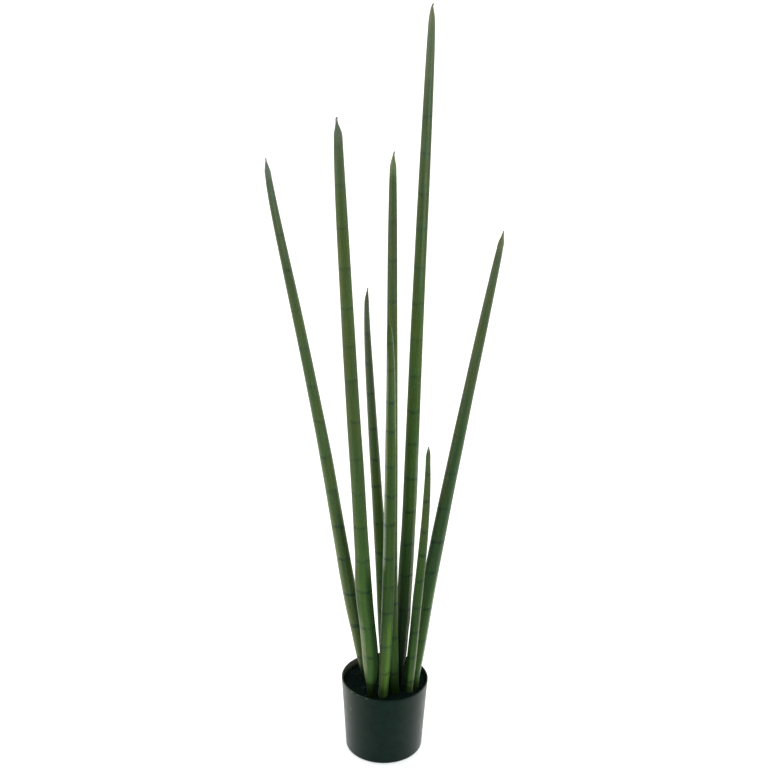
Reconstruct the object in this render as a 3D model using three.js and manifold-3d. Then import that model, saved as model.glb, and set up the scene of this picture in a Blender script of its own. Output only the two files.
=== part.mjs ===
// A cylindrical snake plant in its nursery pot. Millimetres, +Z up.
// The origin is the centre of the pot's underside. +X is to the right and -Y to the front.

import * as THREE from 'three';
import { mergeVertices } from 'three/addons/utils/BufferGeometryUtils.js';
import Module from 'manifold-3d';

const wasm = await Module();
wasm.setup();

// ---------------------------------------------------------------- driving dimensions

const clearance = 0.3; // between pieces that touch

const pot = {
  rimRadius: 75,
  baseRadius: 67,
  height: 137,
  wall: 2,
  floorTop: 4.5, // height of the inside of the floor
  edgeRound: 3.5, // radius of the moulded edge under the wall
  footRing: 52, // inner radius of the ring that the pot stands on
  footDisc: 22, // radius of the flat disc in the middle of the underside
  recess: 2.5, // how far the underside is raised between ring and disc
  recessSlope: 1.5,
  drainHoles: 8,
  drainRadius: 4.5,
  drainCircle: 41, // radius of the circle that the holes stand on
  drillSides: 10,
  sides: 40,
};

const soil = {
  level: 124, // mean height of its surface
  rings: 6, // rings of the relief
  edgeLevel: 120, // where the surface meets the wall at the lowest
  // the waves of the uneven surface: height, then radians per millimetre along X and Y, and phase
  waves: [[1.5, 0.06, 0.03, 1], [1.2, -0.05, 0.09, 2.5], [0.9, 0.14, 0.11, 0.4], [0.7, 0.16, -0.15, 4]],
};

const rhizome = {
  knuckleTop: 91, // where a leaf is seated
  core: 79, // height of the creeping stem's middle
  knuckleRadius: 10.5,
  knuckleFoot: 0.6, // radius of a knuckle's flat underside, of its own
  seatRadius: 7.5,
  stemRadius: 8,
  sides: 8,
};

const roots = {
  count: 9,
  startRadius: 2.2,
  endRadius: 0.9,
  nearest: 44, // how far from the pot's axis a root ends
  furthest: 58,
  lowest: 24,
  highest: 50,
  startDrop: 4, // below the middle of the creeping stem
  wander: 10, // sideways spread of a root's middle
  sag: 8,
  stray: 0.6, // spread of the headings, in radians
  steps: 5,
  sides: 5,
  seed: 7,
};

const leafShape = {
  sides: 15,
  steps: 20, // stations above the soil
  footSplits: 4, // parts that the first step above the soil is split into
  ridges: 5, // shallow lengthwise ridges round the leaf
  ridgeDepth: 0.018, // of the radius
  channelWidth: 0.55, // half width of the lengthwise channel, in radians
  spineLength: 6, // the dry point at the tip
  spineRadius: 1.3,
  hookLength: 60, // length of the bent stretch at the tip
  heelLength: 90, // length of the bent stretch at the foot
  waistLength: 50, // length of the drawn-in stretch above and below the soil
  flareLength: 220, // length over which the leaf swells or narrows towards the soil
  buriedEnd: 0.64, // thickness at the seat, of that at the soil
};

// foot: where the leaf's middle leaves the soil. tip: its point. bow: how far its middle stands off
// the straight line. hook and heel: how far the tip and the foot are bent aside. taper: power of the
// taper towards the tip. shoulder: length over which the tip closes. waist: how much the leaf draws
// in at the soil. flare: how much it swells above that, or narrows. channel: depth of the channel at
// the foot, of the radius. face: the way that the channel looks.
const leaves = [
  {
    name: 'leaf_far_left', foot: [-30, 24], tip: [-187.2, 82, 1043], bow: [11.1, 8],
    hook: 9.1, heel: 11.9, thickness: 23.8, taper: 0.243, shoulder: 4.5, waist: 0.15, flare: 0.1,
    channel: 0.08, face: 20, colour: 0x3f5f33,
  },
  {
    name: 'leaf_left_broad', foot: [-22.1, -42], tip: [-67.9, -105, 1153], bow: [-2.1, -8],
    hook: 2.7, heel: -1.2, thickness: 24.6, taper: 0.179, shoulder: 6.4, waist: 0.53, flare: 0.15,
    channel: 0.08, face: 60, colour: 0x46682f,
  },
  {
    name: 'leaf_left_thin', foot: [2.8, 22], tip: [-29.5, 105, 818], bow: [2.6, 6],
    hook: 7.2, heel: -1.4, thickness: 22.8, taper: 0.333, shoulder: 3.7, waist: 0.32, flare: 0.07,
    channel: 0.1, face: -50, colour: 0x3b5a2f,
  },
  {
    name: 'leaf_middle_back', foot: [15.8, -30], tip: [12.9, 30, 1067], bow: [1, 5],
    hook: 0.5, heel: 6.9, thickness: 21.5, taper: 0.197, shoulder: 6.8, waist: 0.22, flare: 0.12,
    channel: 0.08, face: -100, colour: 0x3c5c2c,
  },
  {
    name: 'leaf_middle_front', foot: [-3.1, -40], tip: [5.7, -76, 831.5], bow: [1.9, -5],
    hook: -5.1, heel: -4.3, thickness: 23.2, taper: 0.266, shoulder: 7.4, waist: 0.22, flare: -0.1,
    channel: 0.2, face: -55, colour: 0x4f7430,
  },
  {
    name: 'leaf_tallest', foot: [21.9, -8], tip: [72, 66, 1286.5], bow: [-0.9, 10],
    hook: -0.2, heel: -7.3, thickness: 25.2, taper: 0.236, shoulder: 5.5, waist: 0.29, flare: 0.02,
    channel: 0.08, face: 200, colour: 0x375530,
  },
  {
    name: 'leaf_short_right', foot: [43.2, -26], tip: [68.9, -72, 612.5], bow: [3.2, -4],
    hook: -5.5, heel: 6.8, thickness: 20.2, taper: 0.335, shoulder: 2.6, waist: 0.28, flare: -0.06,
    channel: 0.16, face: -30, colour: 0x436a33,
  },
  {
    name: 'leaf_far_right', foot: [50.2, -11], tip: [187.5, 38, 937.2], bow: [-0.2, 6],
    hook: 0.7, heel: 11.2, thickness: 25.4, taper: 0.269, shoulder: 5, waist: 0.36, flare: 0.07,
    channel: 0.08, face: 150, colour: 0x3a5c35,
  },
];

// The creeping stem joins the leaves' feet in this order of growth, by their places in the list.
const stemLinks = [[0, 2], [2, 5], [1, 4], [4, 3], [3, 5], [5, 6], [6, 7]];

// ---------------------------------------------------------------- solids

function makeRandom(seed) {
  let state = seed;
  return () => {
    state = (state * 16807) % 2147483647;
    return state / 2147483647;
  };
}

// A closed geometry as a solid for joining and cutting.
function toSolid(geometry) {
  const bare = geometry.clone();
  bare.deleteAttribute('normal');
  bare.deleteAttribute('uv');
  const merged = mergeVertices(bare, 1e-4);
  const corners = merged.index.array;
  const kept = [];
  for (let i = 0; i < corners.length; i += 3) {
    const [a, b, c] = [corners[i], corners[i + 1], corners[i + 2]];
    if (a !== b && b !== c && c !== a) kept.push(a, b, c);
  }
  return new wasm.Manifold(new wasm.Mesh({
    numProp: 3,
    vertProperties: new Float32Array(merged.attributes.position.array),
    triVerts: new Uint32Array(kept),
  }));
}

function toGeometry(solid) {
  const mesh = solid.getMesh();
  const geometry = new THREE.BufferGeometry();
  geometry.setAttribute('position', new THREE.BufferAttribute(mesh.vertProperties.slice(), 3));
  geometry.setIndex(new THREE.BufferAttribute(mesh.triVerts.slice(), 1));
  geometry.computeVertexNormals();
  return geometry;
}

// A skin over a stack of rings, each an array of points in the same turn, closed at both ends.
function skinRings(rings, firstPoint, lastPoint) {
  const sides = rings[0].length;
  const points = [...rings.flat(), firstPoint, lastPoint];
  const corners = [];
  for (let k = 0; k + 1 < rings.length; k += 1) {
    for (let i = 0; i < sides; i += 1) {
      const j = (i + 1) % sides;
      const [a, b] = [k * sides + i, k * sides + j];
      const [c, d] = [a + sides, b + sides];
      corners.push(a, b, d, a, d, c);
    }
  }
  const [first, last] = [points.length - 2, points.length - 1];
  const top = (rings.length - 1) * sides;
  for (let i = 0; i < sides; i += 1) {
    const j = (i + 1) % sides;
    corners.push(first, j, i, last, top + i, top + j);
  }
  const geometry = new THREE.BufferGeometry().setFromPoints(points);
  geometry.setIndex(corners);
  geometry.computeVertexNormals();
  return geometry;
}

// A round section turned about the Z axis, from [radius, height] pairs that start and end on it.
function turn(profile, sides) {
  const points = profile.map(([radius, height]) => new THREE.Vector2(radius, height));
  return new THREE.LatheGeometry(points, sides).rotateX(Math.PI / 2);
}

// A tapering tube along a curve, closed at both ends.
function taperTube(curve, startRadius, endRadius, steps, sides) {
  const frames = curve.computeFrenetFrames(steps, false);
  const rings = [];
  for (let k = 0; k <= steps; k += 1) {
    const centre = curve.getPointAt(k / steps);
    const radius = THREE.MathUtils.lerp(startRadius, endRadius, k / steps);
    const ring = [];
    for (let i = 0; i < sides; i += 1) {
      const angle = (2 * Math.PI * i) / sides;
      ring.push(centre.clone()
        .addScaledVector(frames.normals[k], radius * Math.cos(angle))
        .addScaledVector(frames.binormals[k], radius * Math.sin(angle)));
    }
    rings.push(ring);
  }
  return skinRings(rings, curve.getPointAt(0), curve.getPointAt(1));
}

function makeMesh(name, geometry, colour, roughness) {
  const material = new THREE.MeshStandardMaterial({ color: colour, roughness, metalness: 0 });
  const mesh = new THREE.Mesh(geometry, material);
  mesh.name = name;
  return mesh;
}

// ---------------------------------------------------------------- pot

function outerRadiusAt(height) {
  return THREE.MathUtils.lerp(pot.baseRadius, pot.rimRadius, height / pot.height);
}

function makePot() {
  const edgeCentre = pot.baseRadius - pot.edgeRound;
  const edge = [0, 30, 60, 90].map((degrees) => {
    const angle = THREE.MathUtils.degToRad(degrees);
    return [
      edgeCentre + pot.edgeRound * Math.sin(angle),
      pot.edgeRound * (1 - Math.cos(angle)),
    ];
  });
  const body = toSolid(turn([
    [0, 0],
    [pot.footDisc, 0],
    [pot.footDisc + pot.recessSlope, pot.recess],
    [pot.footRing - pot.recessSlope, pot.recess],
    [pot.footRing, 0],
    ...edge,
    [pot.rimRadius, pot.height],
    [pot.rimRadius - pot.wall, pot.height],
    [outerRadiusAt(pot.floorTop) - pot.wall, pot.floorTop],
    [0, pot.floorTop],
  ], pot.sides));
  const drillLength = 4 * pot.floorTop;
  const drill = new THREE.CylinderGeometry(pot.drainRadius, pot.drainRadius, drillLength, pot.drillSides);
  drill.rotateX(Math.PI / 2).translate(pot.drainCircle, 0, 0);
  let drilled = body;
  for (let i = 0; i < pot.drainHoles; i += 1) {
    const placed = drill.clone().rotateZ((2 * Math.PI * (i + 0.5)) / pot.drainHoles);
    drilled = drilled.subtract(toSolid(placed));
  }
  return toGeometry(drilled);
}

// ---------------------------------------------------------------- leaves

// The middle of a leaf at a height: straight from foot to tip, plus the bow, the bent tip and the
// bent foot. Below the soil it goes straight down.
function leafCentre(leaf, height) {
  const rise = leaf.tip[2] - soil.level;
  const u = Math.max(0, (height - soil.level) / rise);
  const hook = leaf.hook * (Math.exp(-((1 - u) * rise) / leafShape.hookLength) - u);
  const heel = leaf.heel * (Math.exp((-u * rise) / leafShape.heelLength) - (1 - u));
  const bow = 4 * u * (1 - u);
  return [
    THREE.MathUtils.lerp(leaf.foot[0], leaf.tip[0], u) + leaf.bow[0] * bow + hook + heel,
    THREE.MathUtils.lerp(leaf.foot[1], leaf.tip[1], u) + leaf.bow[1] * bow,
  ];
}

// The radius of a leaf at a height: a power of the distance from the tip, closed over the shoulder,
// with the dry spine at the end, a bell-shaped flare and waist at the soil, and a narrowing stump
// below it.
function leafRadius(leaf, height) {
  const rise = leaf.tip[2] - soil.level;
  const below = Math.max(0, soil.level - height);
  const fromTip = Math.min(rise, leaf.tip[2] - height);
  const past = Math.max(0, fromTip - leafShape.spineLength);
  const body = (leaf.thickness / 2) * (fromTip / rise) ** leaf.taper
    * (1 - Math.exp(-past / leaf.shoulder));
  const spine = leafShape.spineRadius * Math.sqrt(Math.min(1, fromTip / leafShape.spineLength));
  const waist = 1 - leaf.waist * Math.exp(-(((height - soil.level) / leafShape.waistLength) ** 2));
  const flare = 1 + leaf.flare * Math.exp(-(((height - soil.level) / leafShape.flareLength) ** 2));
  const depth = soil.level - rhizome.knuckleTop;
  const stump = THREE.MathUtils.lerp(1, leafShape.buriedEnd, below / depth);
  return Math.max(body * waist * flare, spine) * stump;
}

// One level ring of a leaf: round, with shallow ridges, and a channel that fades towards the tip.
function leafRing(leaf, height, extra) {
  const [x, y] = leafCentre(leaf, height);
  const radius = leafRadius(leaf, height);
  const u = THREE.MathUtils.clamp((height - soil.level) / (leaf.tip[2] - soil.level), 0, 1);
  const ring = [];
  for (let i = 0; i < leafShape.sides; i += 1) {
    const angle = (2 * Math.PI * i) / leafShape.sides;
    const faced = angle + THREE.MathUtils.degToRad(leaf.face);
    const ridge = leafShape.ridgeDepth * Math.cos(leafShape.ridges * angle);
    const away = Math.atan2(Math.sin(angle), Math.cos(angle)) / leafShape.channelWidth;
    const channel = leaf.channel * (1 - u) * Math.exp(-away * away);
    const reach = radius * (1 + ridge - channel) + extra;
    ring.push(new THREE.Vector3(x + reach * Math.cos(faced), y + reach * Math.sin(faced), height));
  }
  return ring;
}

// Heights of a leaf's rings, from its seat up, closer together at the foot and towards the tip.
function leafHeights(leaf) {
  const { steps, footSplits } = leafShape;
  const rise = leaf.tip[2] - soil.level;
  const seat = rhizome.knuckleTop + clearance;
  const places = [];
  for (let j = 0; j < footSplits; j += 1) places.push(steps - j / footSplits);
  for (let k = steps - 1; k > 0; k -= 1) places.push(k);
  const above = places.map((place) => leaf.tip[2] - rise * (place / steps) ** 2);
  return [seat, (seat + soil.level) / 2, ...above];
}

function makeLeaf(leaf) {
  const heights = leafHeights(leaf);
  const rings = heights.map((height) => leafRing(leaf, height, 0));
  const seat = new THREE.Vector3(...leafCentre(leaf, heights[0]), heights[0]);
  const point = new THREE.Vector3(...leafCentre(leaf, leaf.tip[2]), leaf.tip[2]);
  return skinRings(rings, seat, point);
}

// The plain hole for a leaf, wider by the clearance, from its seat to above the soil.
function makeLeafHole(leaf) {
  const heights = leafHeights(leaf).filter((height) => height < pot.height);
  heights[0] = rhizome.knuckleTop;
  heights.push(pot.height);
  const rings = heights.map((height) => leafRing(leaf, height, clearance));
  const ends = [heights[0], pot.height].map(
    (height) => new THREE.Vector3(...leafCentre(leaf, height), height),
  );
  return toSolid(skinRings(rings, ends[0], ends[1]));
}

// ---------------------------------------------------------------- rhizome and roots

// The knuckle under a leaf: a turned bulb with a flat seat on top.
function makeKnuckle([x, y], extra) {
  const { knuckleTop, core, knuckleRadius, knuckleFoot, seatRadius, sides } = rhizome;
  const underside = core - knuckleRadius - extra;
  const profile = [
    [0, underside],
    [knuckleRadius * knuckleFoot + extra, underside],
    [knuckleRadius + extra, core],
    [seatRadius + extra, knuckleTop + extra],
    [0, knuckleTop + extra],
  ];
  return toSolid(turn(profile, sides).translate(x, y, 0));
}

function makeStem(start, end, extra) {
  const curve = new THREE.LineCurve3(
    new THREE.Vector3(start[0], start[1], rhizome.core),
    new THREE.Vector3(end[0], end[1], rhizome.core),
  );
  const radius = rhizome.stemRadius + extra;
  return toSolid(taperTube(curve, radius, radius, 1, rhizome.sides));
}

// Roots run outwards and down, each from the knuckle nearest its heading, and wander on the way.
function makeRootCurves() {
  const random = makeRandom(roots.seed);
  const curves = [];
  for (let i = 0; i < roots.count; i += 1) {
    const heading = (2 * Math.PI * i) / roots.count + roots.stray * (random() - 0.5);
    const reach = THREE.MathUtils.lerp(roots.nearest, roots.furthest, random());
    const end = new THREE.Vector3(
      reach * Math.cos(heading),
      reach * Math.sin(heading),
      THREE.MathUtils.lerp(roots.lowest, roots.highest, random()),
    );
    const starts = leaves.map(
      ({ foot }) => new THREE.Vector3(foot[0], foot[1], rhizome.core - roots.startDrop),
    );
    const start = starts.reduce((near, next) => (
      next.distanceTo(end) < near.distanceTo(end) ? next : near
    ));
    const middle = start.clone().lerp(end, 0.5);
    middle.x += roots.wander * (random() - 0.5);
    middle.y += roots.wander * (random() - 0.5);
    middle.z -= roots.sag * random();
    curves.push(new THREE.CatmullRomCurve3([start, middle, end]));
  }
  return curves;
}

const rootCurves = makeRootCurves();

function makeRhizome(extra) {
  const parts = leaves.map((leaf) => makeKnuckle(leaf.foot, extra));
  for (const [from, to] of stemLinks) {
    parts.push(makeStem(leaves[from].foot, leaves[to].foot, extra));
  }
  for (const curve of rootCurves) {
    const [start, end] = [roots.startRadius + extra, roots.endRadius + extra];
    parts.push(toSolid(taperTube(curve, start, end, roots.steps, roots.sides)));
  }
  return parts.reduce((joined, part) => joined.add(part));
}

// ---------------------------------------------------------------- soil

// Height of the soil: its level and the sum of the waves, from broad to small.
function soilHeight(x, y) {
  return soil.waves.reduce(
    (height, [size, alongX, alongY, phase]) => height
      + size * Math.sin(alongX * x + alongY * y + phase),
    soil.level,
  );
}

function makeSoil() {
  const floor = pot.floorTop + clearance;
  const wallAt = (height) => outerRadiusAt(height) - pot.wall - clearance;
  const ringAt = (radius, heightAt) => {
    const ring = [];
    for (let i = 0; i < pot.sides; i += 1) {
      const angle = (2 * Math.PI * i) / pot.sides;
      const [x, y] = [radius * Math.cos(angle), radius * Math.sin(angle)];
      ring.push(new THREE.Vector3(x, y, heightAt(x, y)));
    }
    return ring;
  };
  const rings = [ringAt(wallAt(floor), () => floor)];
  const edge = wallAt(soil.edgeLevel);
  for (let k = soil.rings; k > 0; k -= 1) {
    rings.push(ringAt((edge * k) / soil.rings, soilHeight));
  }
  const filled = toSolid(skinRings(
    rings,
    new THREE.Vector3(0, 0, floor),
    new THREE.Vector3(0, 0, soilHeight(0, 0)),
  ));
  const hollow = leaves.reduce((cut, leaf) => cut.add(makeLeafHole(leaf)), makeRhizome(clearance));
  return toGeometry(filled.subtract(hollow));
}

// ---------------------------------------------------------------- the plant

const plant = new THREE.Group();
plant.add(makeMesh('pot', makePot(), 0x1c2824, 0.45));
plant.add(makeMesh('soil', makeSoil(), 0x17130f, 0.95));
plant.add(makeMesh('rhizome', toGeometry(makeRhizome(0)), 0xb07a3c, 0.7));
for (const leaf of leaves) {
  plant.add(makeMesh(leaf.name, makeLeaf(leaf), leaf.colour, 0.4));
}

export default plant;
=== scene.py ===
import math

import bpy
import numpy as np
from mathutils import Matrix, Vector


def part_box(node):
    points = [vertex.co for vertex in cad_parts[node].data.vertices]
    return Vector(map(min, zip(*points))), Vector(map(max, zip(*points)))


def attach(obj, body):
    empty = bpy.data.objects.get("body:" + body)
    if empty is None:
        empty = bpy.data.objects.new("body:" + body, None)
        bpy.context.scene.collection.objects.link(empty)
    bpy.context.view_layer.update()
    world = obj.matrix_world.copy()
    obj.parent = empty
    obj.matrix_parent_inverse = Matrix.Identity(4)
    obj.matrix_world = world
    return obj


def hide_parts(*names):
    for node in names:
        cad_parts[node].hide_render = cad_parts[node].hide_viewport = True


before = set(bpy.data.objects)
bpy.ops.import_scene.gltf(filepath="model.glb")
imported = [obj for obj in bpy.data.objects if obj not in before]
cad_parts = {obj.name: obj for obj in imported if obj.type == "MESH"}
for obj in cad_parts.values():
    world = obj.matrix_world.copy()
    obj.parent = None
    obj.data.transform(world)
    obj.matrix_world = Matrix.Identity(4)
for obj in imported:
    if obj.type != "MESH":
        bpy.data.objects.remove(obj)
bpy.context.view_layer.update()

mm = 0.001
fullTurn = 2 * math.pi


# Camera: where it stands and how far it looks down.

cameraPlace = {
    "side": -0.0013,
    "back": 2.380,
    "height": 1.694,
    "lookDown": math.radians(22.86),
    "lensMm": 75.0,
    "sensorMm": 36.0,
    "farthest": 100,
}

cameraData = bpy.data.cameras.new("stillCamera")
cameraData.lens = cameraPlace["lensMm"]
cameraData.sensor_width = cameraPlace["sensorMm"]
cameraData.clip_end = cameraPlace["farthest"]
stillCamera = bpy.data.objects.new("stillCamera", cameraData)
stillCamera.location = (cameraPlace["side"], -cameraPlace["back"], cameraPlace["height"])
stillCamera.rotation_euler = (math.pi / 2 - cameraPlace["lookDown"], 0, 0)
bpy.context.scene.collection.objects.link(stillCamera)
bpy.context.scene.camera = stillCamera
bpy.context.scene.view_settings.view_transform = "Standard"
print("camera placed")


# Colours, nodes and meshes.

def linear(hexColour):
    # an sRGB hex value as linear red, green and blue, with an alpha of 1
    channels = [int(hexColour[i:i + 2], 16) / 255 for i in (1, 3, 5)]
    return [c / 12.92 if c <= 0.04045 else ((c + 0.055) / 1.055) ** 2.4 for c in channels] + [1.0]


def addNode(tree, kind, inputs=None, **settings):
    # a node with its settings, and its inputs as plain values or as links from other nodes
    node = tree.nodes.new(kind)
    for key, value in settings.items():
        setattr(node, key, value)
    for key, value in (inputs or {}).items():
        if isinstance(value, bpy.types.NodeSocket):
            tree.links.new(value, node.inputs[key])
        else:
            node.inputs[key].default_value = value
    return node


def newMaterial(name):
    material = bpy.data.materials.new(name)
    material.use_nodes = True
    material.node_tree.nodes.clear()
    return material, material.node_tree


def finishMaterial(tree, shader):
    addNode(tree, "ShaderNodeOutputMaterial", {"Surface": shader.outputs[0]})


def smoothStep(low, high, x):
    t = np.clip((x - low) / (high - low), 0, 1)
    return t * t * (3 - 2 * t)


def meshObject(name, points, quads, triangles, material):
    # one mesh object from arrays of points, four-cornered and three-cornered faces
    mesh = bpy.data.meshes.new(name)
    corners = np.concatenate([quads.ravel(), triangles.ravel()]).astype(np.int32)
    sizes = np.concatenate([np.full(len(quads), 4), np.full(len(triangles), 3)]).astype(np.int32)
    starts = np.concatenate([[0], np.cumsum(sizes)[:-1]]).astype(np.int32)
    mesh.vertices.add(len(points))
    mesh.vertices.foreach_set("co", points.astype(np.float32).ravel())
    mesh.loops.add(len(corners))
    mesh.loops.foreach_set("vertex_index", corners)
    mesh.polygons.add(len(sizes))
    mesh.polygons.foreach_set("loop_start", starts)
    mesh.polygons.foreach_set("use_smooth", np.ones(len(sizes), bool))
    mesh.update(calc_edges=True)
    mesh.validate()
    mesh.materials.append(material)
    piece = bpy.data.objects.new(name, mesh)
    bpy.context.scene.collection.objects.link(piece)
    return piece


def ringFaces(rings, sides):
    # quads between rings of points that close on themselves, and a fan at each end,
    # whose middle points come after the rings
    k, i = np.meshgrid(np.arange(rings - 1), np.arange(sides), indexing="ij")
    j = (i + 1) % sides
    quads = np.stack([k * sides + i, k * sides + j, (k + 1) * sides + j, (k + 1) * sides + i], -1)
    i = np.arange(sides)
    j = (i + 1) % sides
    first, last, top = rings * sides, rings * sides + 1, (rings - 1) * sides
    below = np.stack([np.full(sides, first), j, i], -1)
    above = np.stack([np.full(sides, last), top + i, top + j], -1)
    return quads.reshape(-1, 4), np.concatenate([below, above])


def withEnds(grid):
    # the ring values of a grid, and the mean of its first and of its last ring
    flat = grid.reshape(-1, *grid.shape[2:])
    return np.concatenate([flat, grid[:1].mean(1), grid[-1:].mean(1)])


def addField(piece, name, values):
    # a number, or a vector, at each point of the mesh, which its material reads
    kind, key = ("FLOAT", "value") if values.ndim == 1 else ("FLOAT_VECTOR", "vector")
    field = piece.data.attributes.new(name, kind, "POINT")
    field.data.foreach_set(key, values.astype(np.float32).ravel())


def settle(piece, slot, *nodes):
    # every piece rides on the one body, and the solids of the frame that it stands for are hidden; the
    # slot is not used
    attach(piece, "root")
    if nodes:
        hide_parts(*nodes)


# Leaves.

soilLevel = 0.124

leafForm = {
    "sides": 72,
    "rings": 430,
    "crowding": 1.5,  # power that crowds the rings towards the tip
    "ridges": 5,
    "ridgeDepth": 0.018,  # of the radius
    "fineRidges": 17,
    "fineDepth": 0.004,
    "channelWidth": 0.55,  # half width in radians
    "wander": 0.3 * mm,  # how far the middle strays from its line, in waves along the leaf
    "wanderWaves": (9, 11),  # radians of these waves, sideways and in depth
    "swell": 0.008,  # of the radius, in waves along the leaf
    "swellWaves": 31,
    "calmFoot": 0.15,  # shares of the leaf at its foot and its tip where all these waves die out
    "calmTip": 0.05,
    "leanLength": 15 * mm,  # stretch under the tip that leans aside
    "curlLength": 7 * mm,  # stretch of the dry point that bends
    "nubBlend": 2,  # mm over which the dry point's rod turns into the widening leaf
    "cap": 0.6 * mm,  # how much wider than its solid the leaf may be near the tip
    "capFrom": (6 * mm, 12 * mm),  # distances from the tip over which the cap sets in
    "joinFrom": (12 * mm, 34 * mm),  # and over which the leaf comes to its solid's radius
    "dried": ((12, 45), (4, 9)),  # mm from the tip over which the two tones of "point" end
    "stripeStart": 30,  # mm over which a stripe sets in and dies out
    "stripeEnd": 60,
    "bandFade": 200,  # mm over which the cross bands weaken
    "bandWeak": 0.5,  # share of their strength that they lose
    "bandsBeyond": 3,  # spacings that the count of bands goes on for past the first and the last
    "bandStop": (0.25, 0.5),  # of a spacing above the last band, between which the bands end
    "skinRadius": 10 * mm,  # round which the skin's pattern is laid out
}

# the skin's tones, from dark green through pale stripes to the dry tip. The darkest green is painted
# shade; the cream, sage and blue-grey stripe tones are painted highlights; straw is partly the
# margin's own olive and partly painted edge light
skinTones = {
    "shadeGreen": "#0e2c0b",
    "forest": "#214215",
    "deep": "#2e4f1a",
    "fern": "#355722",
    "leafy": "#365330",
    "grassy": "#46612f",
    "meadow": "#4e673d",
    "mossy": "#3f562b",
    "misty": "#4a5b3d",
    "ashen": "#52604c",
    "silvery": "#6a7662",
    "lime": "#5d8428",
    "glintCream": "#94a58f",
    "straw": "#737b5c",
    "glintBlue": "#6f8c7a",
    "brownish": "#5a5434",
    "glintSage": "#7c8a66",
    "olive": "#6e785a",
    "pewter": "#6e7c70",
    "slate": "#616e5f",
    "drab": "#5d6650",
    "dusty": "#788068",
    "husk": "#85867e",
}

toneStops = (0, 0.12, 0.3, 0.55, 0.86, 1)  # of the height from soil to tip
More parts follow.
